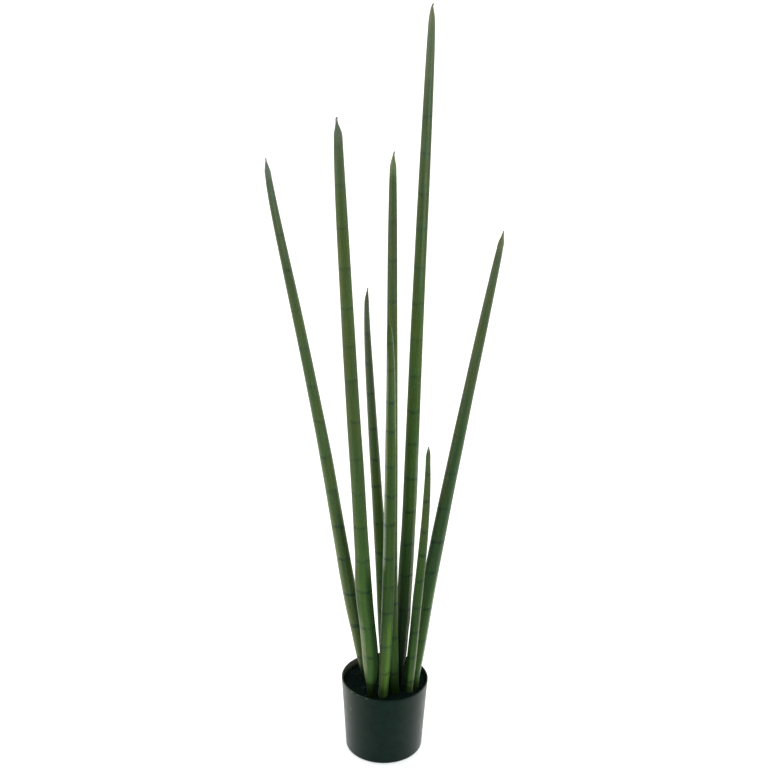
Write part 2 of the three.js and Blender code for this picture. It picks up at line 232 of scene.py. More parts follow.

# face: direction of the channel in degrees, and channel, its depth as a share of the radius.
# tones: the skin's at each of toneStops.
# footShade: heights above the soil, in mm, between which the skin comes out of the painted shade
# at its foot inside the pot, and the share of its tone that is left at the foot.
# bands: heights of the cross bands above the soil, and strongTo, how far up they are strong, in mm.
# lean and curl: how far the tip leans, and its dry point is bent, to the right, in mm.
# nub: radius and length of the dry point in mm, and how fast the leaf widens below it.
# point: tone that the skin dries to under the dry point, and tone of the point.
# bends: heights above the soil, each with how far the leaf stands to the right of its solid there
# and how much thicker it is, in mm.
# stripes: lengthwise, each with its direction and half width in degrees, where it starts and
# ends in mm above the soil, its tone and its strength. The dark green stripes are painted shade
# between the leaves, the cream, sage and blue-grey ones painted highlights along lit flanks, and
# the straw ones partly the margin's olive and partly painted edge light.
leaves = {
    "leaf_far_left": {
        "piece": "leafFarLeft", "face": 20, "channel": 0.08, "footShade": (12, 31, 0.22), "strongTo": 180,
        "bands": (100, 161, 226, 286, 350, 413, 475, 538, 604, 669, 736, 797),
        "lean": -0.6, "curl": 0, "nub": (1.1, 5, 0.25), "point": ("pewter", "husk"),
        "tones": ("grassy", "meadow", "meadow", "meadow", "misty", "ashen"),
        "bends": (
            (0, 0, 0), (50, 0.6, -0.4), (85, 0.9, -0.6), (110, 0.3, -0.3), (140, -0.2, 0.2),
            (190, -0.4, 0.8), (240, -0.2, 0.6), (310, 0.1, 0.3), (360, 0.6, 0.4), (400, 0.9, 0.6),
            (450, 0.9, 0.2), (500, 0.5, 0), (600, 0.2, 0), (700, 0, 0),
        ),
        "stripes": [
            (-75, 20, 740, 920, "glintBlue", 0.3),
            (-140, 32, -10, 330, "straw", 0.35),
            (-50, 32, 0, 340, "shadeGreen", 0.5),
        ],
    },
    "leaf_left_broad": {
        "piece": "leafLeftBroad", "face": 60, "channel": 0.08, "footShade": (22, 44, 0.32), "strongTo": 250,
        "bands": (28, 89, 151, 223, 284, 346, 410, 474, 540, 611, 671, 733, 797, 862, 927),
        "lean": -2.3, "curl": 0.8, "nub": (1.7, 8.5, 0.29), "point": ("slate", "husk"),
        "tones": ("deep", "fern", "fern", "mossy", "mossy", "ashen"),
        "bends": (
            (30, 0, 0), (90, 1.4, 0.2), (150, 0, 0.1), (205, -1.8, 1.3), (240, -1.8, 1.3),
            (280, -0.6, 0.3), (330, -0.2, 0.1), (380, 0.3, 0), (450, 0.7, 0), (520, 0.3, 0.1),
            (640, 0, 0),
        ),
        "stripes": [
            (-150, 30, 42, 190, "glintSage", 0.8),
            (-150, 34, 200, 1000, "straw", 0.25),
            (-32, 38, -10, 290, "shadeGreen", 0.75),
        ],
    },
    "leaf_left_thin": {
        "piece": "leafLeftThin", "face": -50, "channel": 0.1, "footShade": (0, 25, 0.3), "strongTo": 370,
        "bands": (70, 125, 180, 230, 284, 350, 399, 453, 514, 565, 617),
        "lean": 1.3, "curl": 0.3, "nub": (1.2, 4, 0.15), "point": ("drab", "husk"),
        "tones": ("fern", "fern", "fern", "mossy", "ashen", "silvery"),
        "stripes": [
            (-150, 30, 200, 690, "straw", 0.25),
            (-60, 26, 200, 380, "shadeGreen", 0.3),
        ],
    },
    "leaf_middle_back": {
        "piece": "leafMiddleBack", "face": -100, "channel": 0.08, "footShade": (20, 75, 0.38), "strongTo": 330,
        "bands": (40, 108, 173, 238, 303, 370, 437, 503, 570, 637, 703, 772, 835),
        "lean": 0.8, "curl": 1.2, "nub": (1.3, 5, 0.22), "point": ("glintSage", "husk"),
        "tones": ("deep", "fern", "grassy", "grassy", "misty", "meadow"),
        "stripes": [
            (-12, 16, 130, 310, "glintCream", 0.6),
        ],
    },
    "leaf_middle_front": {
        "piece": "leafMiddleFront", "face": -55, "channel": 0.2, "footShade": (-8, 6, 0.5), "strongTo": 480,
        "bands": (50, 106, 174, 226, 282, 348, 399, 453, 517, 568, 624, 667),
        "lean": 0, "curl": -0.4, "nub": (1.2, 5, 0.22), "point": ("mossy", "mossy"),
        "tones": ("fern", "deep", "deep", "deep", "mossy", "mossy"),
        "stripes": [
            (-162, 36, 250, 680, "glintCream", 0.9),
            (-176, 24, -40, 240, "glintCream", 0.6),
            (-12, 16, 480, 720, "glintSage", 0.8),
            (-62, 34, -60, 190, "lime", 0.5),
            (-130, 34, -60, 170, "grassy", 0.9),
        ],
    },
    "leaf_tallest": {
        "piece": "leafTallest", "face": 200, "channel": 0.08, "footShade": (20, 110, 0.35), "strongTo": 430,
        "bands": (38, 90, 148, 212, 270, 329, 388, 452, 507, 569, 629, 691, 751, 814, 871, 933, 991),
        "lean": -0.5, "curl": 2.2, "nub": (1.15, 2.2, 0.2), "point": ("dusty", "husk"),
        # its two lowest tones are painted shade, where the leaves in front shade its foot
        "tones": ("shadeGreen", "shadeGreen", "fern", "grassy", "misty", "silvery"),
        "bends": (
            (-30, 0, 0), (0, -2, 0), (68, -1.9, 0.2), (98, -1.9, 0), (128, -1.1, 0.4),
            (158, -1.2, 0.2), (188, -1, 0.4), (240, -0.7, 0.7), (290, 0, 0.3), (350, 0.5, 0.4),
            (420, 0.4, 0.3), (520, 0.2, 0.2), (640, 0, 0),
        ),
        "stripes": [
            (-74, 14, 700, 1130, "glintBlue", 0.2),
            (-32, 20, 20, 480, "glintCream", 0.45),
        ],
    },
    "leaf_short_right": {
        "piece": "leafShortRight", "face": -30, "channel": 0.16, "footShade": (-15, 2, 0.7), "strongTo": 420,
        "bands": (24, 78, 130, 180, 236, 287, 333, 389, 440),
        "lean": 0.7, "curl": -0.2, "nub": (1.1, 2, 0.27), "point": ("misty", "husk"),
        "tones": ("grassy", "deep", "forest", "deep", "mossy", "mossy"),
        "bends": (
            (-25, 0, 0), (0, -1.6, 1), (35, -0.8, 0.8), (70, 0, 0), (115, 0.5, -0.5),
            (150, 0.35, -0.35), (200, 0, 0),
        ),
        "stripes": [
            (-28, 16, -30, 250, "glintSage", 0.5),
            (-120, 60, 300, 480, "brownish", 0.2),
            (-140, 24, -10, 190, "shadeGreen", 0.6),
            (-152, 38, -60, 110, "shadeGreen", 0.8),
        ],
    },
    "leaf_far_right": {
        "piece": "leafFarRight", "face": 150, "channel": 0.08, "footShade": (-5, 20, 0.6), "strongTo": 230,
        "bands": (30, 92, 152, 222, 276, 337, 400, 466),
        "lean": 0, "curl": 0.3, "nub": (1.1, 3, 0.23), "point": ("olive", "husk"),
        "tones": ("fern", "fern", "leafy", "leafy", "misty", "ashen"),
        "bends": ((100, 0, 0), (250, -0.6, 0.6), (340, -0.7, 0.6), (420, -0.4, 0.4), (560, 0, 0)),
        "stripes": [
            (-16, 20, 10, 260, "glintCream", 0.65),
            (-145, 30, 340, 800, "straw", 0.3),
        ],
    },
}

straight = ((0, 0, 0), (1, 0, 0))  # bends of a leaf that keeps to its solid


def skinTone(name):
    return np.array(linear(skinTones[name])[:3])


def smoothThrough(heights, values, at):
    # a smooth line through values at uneven heights: between two heights the cubic whose slope at
    # each is that of the parabola through it and its neighbours
    slopes = np.gradient(values, heights, axis=0)
    i = np.clip(np.searchsorted(heights, at, side="right") - 1, 0, len(heights) - 2)
    step = (heights[i + 1] - heights[i])[:, None]
    t = (at - heights[i])[:, None] / step
    start, end = values[i], values[i + 1]
    return ((1 + 2 * t) * (1 - t) ** 2 * start + t * (1 - t) ** 2 * step * slopes[i]
            + (3 - 2 * t) * t ** 2 * end - (1 - t) * t ** 2 * step * slopes[i + 1])


def leafStations(node):
    # the height, middle and mean radius of each level ring of a leaf's solid, from its seat up,
    # without the middle points of its two end faces
    levelSlack, middleSlack = 0.02 * mm, 0.1 * mm
    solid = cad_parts[node].data
    points = np.empty(len(solid.vertices) * 3, np.float32)
    solid.vertices.foreach_get("co", points)
    points = np.unique(np.round(points.reshape(-1, 3).astype(float), 6), axis=0)  # to 1/1000 mm
    stations = []
    for level in np.unique(np.round(points[:, 2], 5)):  # to 1/100 mm
        ring = points[np.abs(points[:, 2] - level) < levelSlack]
        rim = ring[np.linalg.norm(ring[:, :2] - ring[:, :2].mean(0), axis=1) > middleSlack]
        if len(rim) == 0:
            rim = ring
        middle = rim[:, :2].mean(0)
        radius = np.linalg.norm(rim[:, :2] - middle, axis=1).mean()
        stations.append([level, *middle, radius])
    return np.array(stations)


def nubRadius(fromTip, radius, length, growth):
    # the dry point: a rod with a round end, below which the leaf widens evenly
    below = fromTip / mm - length
    roundOff = np.sqrt(1 - (1 - np.clip(fromTip / (radius * mm), 0, 1)) ** 2)
    widening = growth * (below + np.sqrt(below ** 2 + leafForm["nubBlend"] ** 2)) / 2
    return (radius + widening) * mm * roundOff


def makeLeaf(node, leaf, material, random):
    # a surface of height and angle: each level ring stands round the solid's middle line, moved by
    # the bends, waves, lean and curl, at the solid's radius, times one plus the ridges less the
    # channel. Near the tip the radius goes over to that of the dry point, which closes it
    form = leafForm
    stations = leafStations(node)
    seat, tip = stations[0, 0], stations[-1, 0]
    left = (1 - np.arange(form["rings"]) / form["rings"]) ** form["crowding"]
    height = tip - (tip - seat) * left
    middleX, middleY, radius = smoothThrough(stations[:, 0], stations[:, 1:], height).T
    fromTip = tip - height
    u = np.clip((height - soilLevel) / (tip - soilLevel), 0, 1)
    loose = smoothStep(0, form["calmFoot"], u) * smoothStep(0, form["calmTip"], 1 - u)
    phases = random.uniform(0, fullTurn, 4)

    bentHeights, *bends = np.array(leaf.get("bends", straight), float).T
    rise = np.clip((height - soilLevel) / mm, bentHeights[0], bentHeights[-1])
    aside, wider = smoothThrough(bentHeights, np.stack(bends, -1), rise).T * mm
    lean = leaf["lean"] * mm * np.exp(-(fromTip / form["leanLength"]) ** 2)
    curl = leaf["curl"] * mm * np.clip(1 - fromTip / form["curlLength"], 0, 1) ** 1.5
    stray = form["wander"] * loose
    wavesX, wavesY = form["wanderWaves"]
    middleX = middleX + stray * np.sin(wavesX * u + phases[0]) + lean + curl + aside
    middleY = middleY + stray * np.sin(wavesY * u + phases[1])

    body = radius * (1 + form["swell"] * loose * np.sin(form["swellWaves"] * u + phases[2])) + wider
    nub = nubRadius(fromTip, *leaf["nub"])
    capped = smoothStep(*form["capFrom"], fromTip)
    joined = smoothStep(*form["joinFrom"], fromTip)
    nub = nub * (1 - capped) + np.minimum(nub, body + form["cap"]) * capped
    radius = nub * (1 - joined) + body * joined

    angle = np.arange(form["sides"]) * fullTurn / form["sides"]
    faced = angle + math.radians(leaf["face"])
    away = np.arctan2(np.sin(angle), np.cos(angle))
    ridge = form["ridgeDepth"] * np.cos(form["ridges"] * angle)
    fine = form["fineDepth"] * np.cos(form["fineRidges"] * angle + phases[3])
    channel = leaf["channel"] * np.exp(-(away / form["channelWidth"]) ** 2)
    reach = radius[:, None] * (1 + ridge + fine - (1 - u)[:, None] * (channel - channel.mean()))
    grid = np.stack([
        middleX[:, None] + reach * np.cos(faced),
        middleY[:, None] + reach * np.sin(faced),
        np.broadcast_to(height[:, None], reach.shape),
    ], -1)
    piece = meshObject(leaf["piece"], withEnds(grid), *ringFaces(*grid.shape[:2]), material)
    addLeafFields(piece, leaf, height, tip, angle, phases[0])
    settle(piece, "leaf", node)


def addLeafFields(piece, leaf, height, tip, angle, phase):
    # what the skin's material reads: where on the skin a point lies, its tone, with painted shade and
    # highlights in it, and share of wax, less where shade is painted, the count of cross bands up to it,
    # their spacing and strength, and its distance from the tip
    form = leafForm
    shape = (len(height), len(angle))
    along = np.broadcast_to((height - soilLevel)[:, None], shape)
    skin = np.stack([
        form["skinRadius"] * np.cos(angle)[None, :] + 0 * along,
        form["skinRadius"] * np.sin(angle)[None, :] + 0 * along,
        along + phase,
    ], -1)

    tones = np.array([skinTone(name) for name in leaf["tones"]])
    share = along / (tip - soilLevel)
    ground = np.stack([np.interp(share, toneStops, tones[:, c]) for c in range(3)], -1)
    heading = angle + math.radians(leaf["face"])
    waxAndShade = np.ones((*shape, 1))
    # the stripes paint shade and highlights into the tone: dark flanks where neighbours shade them, pale lit
    # flanks and glints
    for direction, halfWidth, low, high, tone, strength in leaf["stripes"]:
        turned = heading - math.radians(direction)
        turned = np.arctan2(np.sin(turned), np.cos(turned)) / math.radians(halfWidth)
        starts = smoothStep(low * mm, (low + form["stripeStart"]) * mm, along)
        ends = smoothStep(-high * mm, (form["stripeEnd"] - high) * mm, -along)
        mask = (strength * starts * ends * np.exp(-turned ** 4)[None, :])[..., None]
        ground = ground * (1 - mask) + skinTone(tone) * mask
        if tone == "shadeGreen":  # painted shade on these flanks takes their gloss away too
            waxAndShade = waxAndShade * (1 - mask)
    # painted shade: the skin darkened towards its foot inside the pot, and its gloss taken away with it
    shadeLow, shadeHigh, left = leaf["footShade"]
    unshaded = left + (1 - left) * smoothStep(shadeLow * mm, shadeHigh * mm, along)
    ground = ground * unshaded[..., None]
    waxAndShade = waxAndShade[..., 0] * unshaded
    for tone, (near, far) in zip(leaf["point"], form["dried"]):
        dried = 1 - smoothStep(near * mm, far * mm, tip - height)[:, None, None]
        ground = ground * (1 - dried) + skinTone(tone) * dried

    bands = np.array(leaf["bands"]) * mm
    gaps, beyond = np.diff(bands), form["bandsBeyond"]
    marks = np.concatenate([[bands[0] - beyond * gaps[0]], bands, [bands[-1] + beyond * gaps[-1]]])
    count = np.interp(along, marks, [-beyond, *range(len(bands)), len(bands) - 1 + beyond])
    spacing = np.interp(along, (bands[:-1] + bands[1:]) / 2, gaps)
    weaker = smoothStep(leaf["strongTo"] * mm, (leaf["strongTo"] + form["bandFade"]) * mm, along)
    stopLow, stopHigh = bands[-1] + np.array(form["bandStop"]) * gaps[-1]
    stopped = smoothStep(stopLow, stopHigh, along)
    bandStrength = (1 - form["bandWeak"] * weaker) * (1 - stopped)

    addField(piece, "skinPlace", withEnds(skin))
    addField(piece, "tone", withEnds(ground))
    addField(piece, "waxAndShade", withEnds(waxAndShade))
    addField(piece, "bandCount", withEnds(count))
    addField(piece, "bandSpacing", withEnds(spacing))
    addField(piece, "bandStrength", withEnds(bandStrength))
    addField(piece, "fromTip", withEnds(np.broadcast_to((tip - height)[:, None], shape)))


def makeLeafSkin():
    # leaf skin, grown: a tough green skin under a thin wax, which gives a satin gloss along the
    # edges, with thin dark bands across and fine paler lines lengthwise
    material, tree = newMaterial("grownWaxyLeafSkin")
    fields = {}
    for name in ("skinPlace", "tone", "waxAndShade", "bandCount", "bandSpacing", "bandStrength", "fromTip"):
        fields[name] = addNode(tree, "ShaderNodeAttribute", attribute_name=name).outputs
    skin, tone = fields["skinPlace"]["Vector"], fields["tone"]["Vector"]

    # streaks lengthwise, 1 mm and 4 mm wide, and speckles 2 mm wide, each lighter and darker than
    # the tone by its change
    longWay = addNode(tree, "ShaderNodeVectorMath", {0: skin, 1: (1, 1, 0.02)}, operation="MULTIPLY")
    noises = []
    mottled = tone
    for way, scale, detail, roughness, spread, change in (
        (longWay.outputs[0], 700, 2, 0.6, 0.2, 0.18),
        (longWay.outputs[0], 170, 1, 0.5, 0.15, 0.12),
        (skin, 350, 2, 0.5, 0.15, 0.09),
    ):
        noises.append(addNode(tree, "ShaderNodeTexNoise", {
            "Vector": way, "Scale": scale, "Detail": detail, "Roughness": roughness,
        }))
        share = addNode(tree, "ShaderNodeMapRange", {
            "Value": noises[-1].outputs["Fac"], "From Min": 0.5 - spread, "From Max": 0.5 + spread,
            "To Min": 1 - change, "To Max": 1 + change,
        })
        mottled = addNode(tree, "ShaderNodeVectorMath", {
            0: mottled, "Scale": share.outputs["Result"],
        }, operation="SCALE").outputs[0]

    # cloudy patches, 20 to 50 mm long, where the green turns to olive, fewer near the tip
    patchWay = addNode(tree, "ShaderNodeVectorMath", {0: skin, 1: (1, 1, 0.35)}, operation="MULTIPLY")
    patches = addNode(tree, "ShaderNodeTexNoise", {
        "Vector": patchWay.outputs[0], "Scale": 70, "Detail": 2,
    })
    patchMost = addNode(tree, "ShaderNodeMapRange", {
        "Value": fields["fromTip"]["Fac"], "From Min": 30 * mm, "From Max": 150 * mm,
        "To Min": 0.2, "To Max": 1,
    })
    patchMix = addNode(tree, "ShaderNodeMapRange", {
        "Value": patches.outputs["Fac"], "From Min": 0.42, "From Max": 0.62,
        "To Min": 0, "To Max": patchMost.outputs["Result"],
    }, interpolation_type="SMOOTHSTEP")
    olive = addNode(tree, "ShaderNodeVectorMath", {
        0: mottled, 1: (1.14, 1.01, 0.85),
    }, operation="MULTIPLY")
    patched = addNode(tree, "ShaderNodeMix", {
        "Factor": patchMix.outputs["Result"], "A": mottled, "B": olive.outputs[0],
    }, data_type="RGBA")

    # cross bands, wavy by 2 mm: a dark line 5 mm wide in a bluer bloom 16 mm wide. From one band up
    # to the next the skin grows 6 % darker
    waver = addNode(tree, "ShaderNodeTexNoise", {"Vector": skin, "Scale": 60, "Detail": 1})
    waverBy = addNode(tree, "ShaderNodeMapRange", {
        "Value": waver.outputs["Fac"], "From Min": 0.3, "From Max": 0.7, "To Min": -0.03, "To Max": 0.03,
    })
    count = addNode(tree, "ShaderNodeMath", {
        0: fields["bandCount"]["Fac"], 1: waverBy.outputs["Result"],
    }, operation="ADD")
    upFromBand = addNode(tree, "ShaderNodeMath", {0: count.outputs[0]}, operation="FRACT")
    darker = addNode(tree, "ShaderNodeMapRange", {
        "Value": upFromBand.outputs[0], "From Min": 0, "From Max": 1, "To Min": 1.03, "To Max": 0.97,
    })
    shaded = addNode(tree, "ShaderNodeVectorMath", {
        0: patched.outputs["Result"], "Scale": darker.outputs["Result"],
    }, operation="SCALE")
    nearest = addNode(tree, "ShaderNodeMath", {0: count.outputs[0], 1: 0.5}, operation="PINGPONG")
    offBand = addNode(tree, "ShaderNodeMath", {
        0: nearest.outputs[0], 1: fields["bandSpacing"]["Fac"],
    }, operation="MULTIPLY")
    banded = shaded.outputs[0]
    for near, far, most, tint in ((4, 12, 0.9, (0.95, 0.99, 1.25)), (1, 4.2, 0.85, (0.32, 0.42, 0.6))):
        breaks = addNode(tree, "ShaderNodeTexNoise", {"Vector": skin, "Scale": 130, "Detail": 1})
        amount = addNode(tree, "ShaderNodeMapRange", {
            "Value": breaks.outputs["Fac"], "From Min": 0.38, "From Max": 0.62,
            "To Min": 0.35 * most, "To Max": most,
        })
        mask = addNode(tree, "ShaderNodeMapRange", {
            "Value": offBand.outputs[0], "From Min": near * mm, "From Max": far * mm,
            "To Min": amount.outputs["Result"], "To Max": 0,
        }, interpolation_type="SMOOTHSTEP")
        share = addNode(tree, "ShaderNodeMath", {
            0: mask.outputs["Result"], 1: fields["bandStrength"]["Fac"],
        }, operation="MULTIPLY")
        tinted = addNode(tree, "ShaderNodeVectorMath", {0: banded, 1: tint}, operation="MULTIPLY")
        banded = addNode(tree, "ShaderNodeMix", {
            "Factor": share.outputs[0], "A": banded, "B": tinted.outputs[0],
        }, data_type="RGBA").outputs["Result"]

    # grooves between the finest streaks, and a gloss and sheen as strong as the wax, which the painted shade
    # takes away
    bump = addNode(tree, "ShaderNodeBump", {
        "Height": noises[0].outputs["Fac"], "Strength": 0.3, "Distance": 0.2 * mm,
    })
    rough = addNode(tree, "ShaderNodeMapRange", {
        "Value": patches.outputs["Fac"], "From Min": 0.35, "From Max": 0.65, "To Min": 0.36, "To Max": 0.46,
    })
    gloss = addNode(tree, "ShaderNodeMapRange", {"Value": fields["waxAndShade"]["Fac"], "To Min": 0, "To Max": 0.1})
    sheen = addNode(tree, "ShaderNodeMapRange", {"Value": fields["waxAndShade"]["Fac"], "To Min": 0, "To Max": 0.12})
    shader = addNode(tree, "ShaderNodeBsdfPrincipled", {
        "Base Color": banded,
        "Roughness": rough.outputs["Result"],
        "IOR": 1.45,
        "Specular IOR Level": gloss.outputs["Result"],
        "Sheen Weight": sheen.outputs["Result"],
        "Sheen Roughness": 0.5,
        "Normal": bump.outputs["Normal"],
    })
    finishMaterial(tree, shader)
    return material


leafRandom = np.random.default_rng(11)
leafSkin = makeLeafSkin()
for node, leaf in leaves.items():
    makeLeaf(node, leaf, leafSkin, leafRandom)
print("leaves made:", len(leaves))


# Rootstock: the solid of the frame stays and gets its skin.

def makeRootSkin():
    # rhizome, grown: corky orange-brown, in rings 8 mm apart, with darker pits
    material, tree = newMaterial("grownCorkyRootstock")
    place = addNode(tree, "ShaderNodeTexCoord").outputs["Object"]
    rings = addNode(tree, "ShaderNodeTexWave", {
        "Vector": place, "Scale": 40, "Distortion": 4, "Detail": 2, "Detail Scale": 2,
    }, bands_direction="Z")
    pits = addNode(tree, "ShaderNodeTexNoise", {"Vector": place, "Scale": 350, "Detail": 4})
    mixed = addNode(tree, "ShaderNodeMath", {
        0: rings.outputs["Fac"], 1: pits.outputs["Fac"],
    }, operation="MULTIPLY")
    colour = addNode(tree, "ShaderNodeMix", {
        "Factor": mixed.outputs[0], "A": linear("#6b4522"), "B": linear("#c9924f"),
    }, data_type="RGBA")
    bump = addNode(tree, "ShaderNodeBump", {
        "Height": mixed.outputs[0], "Strength": 0.6, "Distance": 0.5 * mm,
    })
    shader = addNode(tree, "ShaderNodeBsdfPrincipled", {
        "Base Color": colour.outputs["Result"], "Roughness": 0.75, "IOR": 1.45,
        "Specular IOR Level": 0.3, "Normal": bump.outputs["Normal"],
    })
    finishMaterial(tree, shader)
    return material


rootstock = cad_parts["rhizome"]
rootstock.data.materials.clear()
rootstock.data.materials.append(makeRootSkin())
print("rootstock dressed")


# Pot.

potForm = {
    "rim": 75 * mm,
    "base": 67 * mm,
    "height": 137 * mm,
    "wall": 2 * mm,
    "floorTop": 4.5 * mm,
    "floorWider": 0.3 * mm,  # how much wider the pot is at the floor's top than at its base
    "edgeRound": 3.5 * mm,
    "rimRound": 0.7 * mm,
    "edgeSteps": 10,
    "rimSteps": 14,
    "wallSteps": 40,
    "hub": 0.001 * mm,  # radius of the first and the last ring, in the middle of the floor
    "sharpFrom": math.radians(35),  # edges that turn more than this stay sharp
    "footRing": 52 * mm,
    "footDisc": 22 * mm,
    "recess": 2.5 * mm,
    "slope": 1.5 * mm,
    "sides": 320,
    "oval": 0.4 * mm,  # how far the thin rim is out of round
    "ovalTurn": 0.7,  # radians
    "lean": 1.8 * mm,  # how far the foot stands to the left of the rim
    "rimTilt": 2 * mm,  # half the fall of the rim from back left to front right
    "rimDrop": 0.5,  # of rimTilt: how far the whole rim lies lower than the height
    "rimLow": math.radians(-30),  # direction in which the rim is lowest
    "drains": 8,
    "drainRadius": 4.5 * mm,
    "drainCircle": 41 * mm,
    "drainSides": 40,
    "drill": (-5 * mm, 15 * mm),  # heights between which the drains are cut
    # direction in degrees, height in mm and strength: the two on the wall are pale scratches, the three
    # at the rim's height a painted highlight along the rim's front left
    "scuffsAndRimGlints": ((-144, 98, 0.45), (-148, 77, 0.45), (-141, 137, 1.3), (-128, 137, 1.3), (-115, 137, 1.3)),
}


def potProfile():
    # radius and height round the wall of the pot, from the middle of its underside, up the outside
    # and back down the inside, with quarter rounds as arcs
    form = potForm
    turn = np.linspace(0, math.pi / 2, form["edgeSteps"])
    edge = np.stack([
        form["base"] - form["edgeRound"] * (1 - np.sin(turn)), form["edgeRound"] * (1 - np.cos(turn)),
    ], -1)
    lip = np.linspace(0, math.pi, form["rimSteps"])
    lipMiddle = form["rim"] - form["wall"] / 2
    top = np.stack([
        lipMiddle + form["wall"] / 2 * np.cos(lip),
        form["height"] - form["rimRound"] + form["rimRound"] * np.sin(lip),
    ], -1)
    outside = np.linspace(edge[-1], top[0], form["wallSteps"])[1:-1]
    innerFoot = [form["base"] + form["floorWider"] - form["wall"], form["floorTop"]]
    inside = np.linspace(top[-1], innerFoot, form["wallSteps"])[1:]
    under = np.array([
        [form["hub"], 0], [form["footDisc"], 0], [form["footDisc"] + form["slope"], form["recess"]],
        [form["footRing"] - form["slope"], form["recess"]], [form["footRing"], 0],
    ])
    floor = np.array([[form["hub"], form["floorTop"]]])
    return np.concatenate([under, edge, outside, top, inside, floor])


def drillDrains(piece, material):
    # round holes through the floor, on a circle: upright cylinders cut away from the pot
    form = potForm
    angle = np.arange(form["drainSides"]) * fullTurn / form["drainSides"]
    modifier = piece.modifiers.new("drains", "BOOLEAN")
    modifier.operation = "DIFFERENCE"
    modifier.solver = "EXACT"
    for i in range(form["drains"]):
        heading = (i + 0.5) * fullTurn / form["drains"]
        x = form["drainCircle"] * math.cos(heading) + form["drainRadius"] * np.cos(angle) - form["lean"]
        y = form["drainCircle"] * math.sin(heading) + form["drainRadius"] * np.sin(angle)
        grid = np.stack([np.stack([x, y, np.full_like(x, z)], -1) for z in form["drill"]])
        drill = meshObject("drill", withEnds(grid), *ringFaces(*grid.shape[:2]), material)
        modifier.object = drill
        evaluated = piece.evaluated_get(bpy.context.evaluated_depsgraph_get())
        piece.data = bpy.data.meshes.new_from_object(evaluated)
        bpy.data.objects.remove(drill)
    piece.modifiers.clear()


def makePot(material):
    # a profile turned round the Z axis, whose rim is a little out of round and out of level, and
    # whose foot stands a little to one side
    form = potForm
    profile = potProfile()
    angle = np.arange(form["sides"]) * fullTurn / form["sides"]
    radius, height = profile[:, :1], profile[:, 1:]
    lift = height / form["height"]
    reach = radius + form["oval"] * lift ** 2 * np.cos(2 * angle + form["ovalTurn"])
    fall = form["rimTilt"] * (form["rimDrop"] + np.cos(angle - form["rimLow"]))
    grid = np.stack([
        reach * np.cos(angle) - form["lean"] * (1 - lift),
        reach * np.sin(angle),
        height - fall * lift,
    ], -1)
    piece = meshObject("nurseryPot", withEnds(grid), *ringFaces(*grid.shape[:2]), material)
    drillDrains(piece, material)
    piece.data.set_sharp_from_angle(angle=form["sharpFrom"])
    settle(piece, "pot", "pot")


